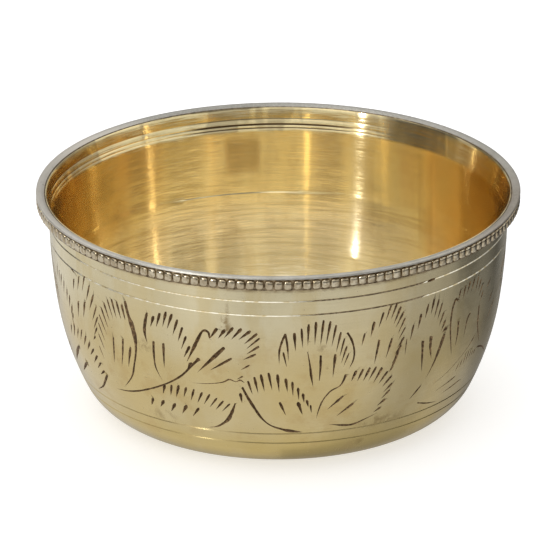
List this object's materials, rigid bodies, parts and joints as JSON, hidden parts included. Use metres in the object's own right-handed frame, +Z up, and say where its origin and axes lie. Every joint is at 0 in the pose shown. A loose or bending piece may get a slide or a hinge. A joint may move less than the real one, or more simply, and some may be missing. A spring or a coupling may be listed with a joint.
{
  "type": "engraved brass bowl with a beaded rim",
  "caption": "Round straight-sided metal bowl with a flat base, fine turned lines and a beaded wire under a flat land ring at its rim.",
  "frame": {"origin": "middle of the flat base, on the surface that the bowl stands on", "axes": "+Z up along the axis of the bowl; -Y is the side that faces the viewer"},
  "size_m": [0.12, 0.12, 0.0565],
  "materials": {
    "polished_brass": "polished",
    "beaded_brass": "polished high spots over dark recesses",
    "filed_brass": "matt, filed"
  },
  "bodies": {
    "root": {"bowl_shell": "polished_brass", "bead_wire": "beaded_brass", "land_ring": "filed_brass"}
  },
  "joints": []
}
